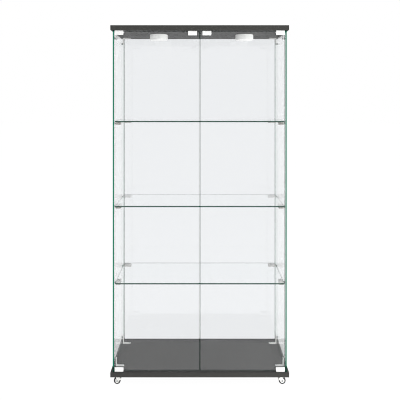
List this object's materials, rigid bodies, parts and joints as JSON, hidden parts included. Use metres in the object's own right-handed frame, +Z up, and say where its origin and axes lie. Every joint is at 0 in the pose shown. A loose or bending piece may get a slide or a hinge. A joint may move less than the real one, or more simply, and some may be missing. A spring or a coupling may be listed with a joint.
{
  "type": "display case",
  "caption": "Tall glass display case with dark top and base boards, glass shelves, paired pivot-hinged glass doors, magnetic catch, push lights and swivel casters.",
  "frame": {"origin": "centre of the footprint, on the floor under the wheels", "axes": "+Z up, doors face -Y, +X to the right as seen from the front; left and right in names are as seen from the front"},
  "size_m": [0.805, 0.365, 1.63],
  "materials": {
    "board_laminate": "dark grey laminate on particle board",
    "clear_glass": "clear float glass with ground green edges",
    "white_enamel": "gloss white enamel on zinc casting",
    "clear_plastic": "translucent moulded plastic",
    "silicone": "translucent silicone",
    "bright_metal": "polished",
    "zinc_steel": "bright zinc plate",
    "natural_nylon": "natural nylon",
    "liner_rubber": "soft dark liner",
    "black_plastic": "fine matt moulding",
    "nickel_magnet": "nickel plate",
    "white_plastic": "satin white moulding",
    "circuit_board": "white solder mask",
    "battery_sleeve": "plain metallic sleeve",
    "lens_plastic": "frosted white diffuser",
    "tyre_grey": "smooth dark grey rubber"
  },
  "bodies": {
    "cabinet": {"base_board": "board_laminate", "top_board": "board_laminate", "side_glass_left": "clear_glass", "side_glass_right": "clear_glass", "back_glass": "clear_glass", "lower_shelf": "clear_glass", "middle_shelf": "clear_glass", "upper_shelf": "clear_glass", "corner_brackets": "white_enamel", "lower_shelf_supports": "clear_plastic", "middle_shelf_supports": "clear_plastic", "upper_shelf_supports": "clear_plastic", "shelf_pads": "silicone", "glass_bolts": "bright_metal", "bolt_caps": "bright_metal", "board_screws": "zinc_steel", "hinge_bushes": "natural_nylon", "catch_housings": "black_plastic", "light_mounts": "white_plastic", "light_housing_left": "white_plastic", "light_housing_right": "white_plastic", "light_circuits": "circuit_board", "light_batteries": "battery_sleeve", "caster_plates": "zinc_steel"},
    "door_left": {"door_glass_left": "clear_glass", "hinge_clamp_left_lower": "white_enamel", "hinge_clamp_left_upper": "white_enamel", "clamp_liners_left": "liner_rubber", "set_screws_left": "zinc_steel", "pivot_pins_left": "zinc_steel", "strike_clip_left": "white_enamel"},
    "catch_plunger_left": {"catch_plunger_left": "natural_nylon", "catch_magnet_left": "nickel_magnet"},
    "light_lens_left": {"light_lens_left": "lens_plastic"},
    "door_right": {"door_glass_right": "clear_glass", "hinge_clamp_right_lower": "white_enamel", "hinge_clamp_right_upper": "white_enamel", "clamp_liners_right": "liner_rubber", "set_screws_right": "zinc_steel", "pivot_pins_right": "zinc_steel", "strike_clip_right": "white_enamel"},
    "catch_plunger_right": {"catch_plunger_right": "natural_nylon", "catch_magnet_right": "nickel_magnet"},
    "light_lens_right": {"light_lens_right": "lens_plastic"},
    "caster_swivel_front_left": {"caster_fork_front_left": "white_plastic", "caster_axle_front_left": "zinc_steel"},
    "caster_wheel_front_left": {"caster_hub_front_left": "white_plastic", "caster_tyre_front_left": "tyre_grey"},
    "caster_swivel_front_right": {"caster_fork_front_right": "white_plastic", "caster_axle_front_right": "zinc_steel"},
    "caster_wheel_front_right": {"caster_hub_front_right": "white_plastic", "caster_tyre_front_right": "tyre_grey"},
    "caster_swivel_rear_left": {"caster_fork_rear_left": "white_plastic", "caster_axle_rear_left": "zinc_steel"},
    "caster_wheel_rear_left": {"caster_hub_rear_left": "white_plastic", "caster_tyre_rear_left": "tyre_grey"},
    "caster_swivel_rear_right": {"caster_fork_rear_right": "white_plastic", "caster_axle_rear_right": "zinc_steel"},
    "caster_wheel_rear_right": {"caster_hub_rear_right": "white_plastic", "caster_tyre_rear_right": "tyre_grey"}
  },
  "joints": [
    {"name": "door_hinge_left", "type": "hinge", "parent": "cabinet", "child": "door_left", "pos_m": [-0.3745, -0.169, 0.8375], "axis": [0, 0, -1], "range_deg": [0, 100]},
    {"name": "door_hinge_right", "type": "hinge", "parent": "cabinet", "child": "door_right", "pos_m": [0.3745, -0.169, 0.8375], "axis": [0, 0, 1], "range_deg": [0, 100]},
    {"name": "catch_push_left", "type": "slide", "parent": "cabinet", "child": "catch_plunger_left", "axis": [0, 1, 0], "range_m": [0, 0.0025], "stiffness_N_per_m": 600, "springref_m": -0.004},
    {"name": "light_push_left", "type": "slide", "parent": "cabinet", "child": "light_lens_left", "axis": [0, 0, 1], "range_m": [0, 0.002], "stiffness_N_per_m": 900, "springref_m": -0.002},
    {"name": "catch_push_right", "type": "slide", "parent": "cabinet", "child": "catch_plunger_right", "axis": [0, 1, 0], "range_m": [0, 0.0025], "stiffness_N_per_m": 600, "springref_m": -0.004},
    {"name": "light_push_right", "type": "slide", "parent": "cabinet", "child": "light_lens_right", "axis": [0, 0, 1], "range_m": [0, 0.002], "stiffness_N_per_m": 900, "springref_m": -0.002},
    {"name": "caster_turn_front_left", "type": "hinge", "parent": "cabinet", "child": "caster_swivel_front_left", "pos_m": [-0.364, -0.1455, 0.03], "axis": [0, 0, 1], "continuous": true},
    {"name": "caster_roll_front_left", "type": "hinge", "parent": "caster_swivel_front_left", "child": "caster_wheel_front_left", "pos_m": [-0.376, -0.1455, 0.0155], "axis": [0, 1, 0], "continuous": true},
    {"name": "caster_turn_front_right", "type": "hinge", "parent": "cabinet", "child": "caster_swivel_front_right", "pos_m": [0.364, -0.1455, 0.03], "axis": [0, 0, 1], "continuous": true},
    {"name": "caster_roll_front_right", "type": "hinge", "parent": "caster_swivel_front_right", "child": "caster_wheel_front_right", "pos_m": [0.376, -0.1455, 0.0155], "axis": [0, 1, 0], "continuous": true},
    {"name": "caster_turn_rear_left", "type": "hinge", "parent": "cabinet", "child": "caster_swivel_rear_left", "pos_m": [-0.364, 0.1455, 0.03], "axis": [0, 0, 1], "continuous": true},
    {"name": "caster_roll_rear_left", "type": "hinge", "parent": "caster_swivel_rear_left", "child": "caster_wheel_rear_left", "pos_m": [-0.376, 0.1455, 0.0155], "axis": [0, 1, 0], "continuous": true},
    {"name": "caster_turn_rear_right", "type": "hinge", "parent": "cabinet", "child": "caster_swivel_rear_right", "pos_m": [0.364, 0.1455, 0.03], "axis": [0, 0, 1], "continuous": true},
    {"name": "caster_roll_rear_right", "type": "hinge", "parent": "caster_swivel_rear_right", "child": "caster_wheel_rear_right", "pos_m": [0.376, 0.1455, 0.0155], "axis": [0, 1, 0], "continuous": true}
  ]
}
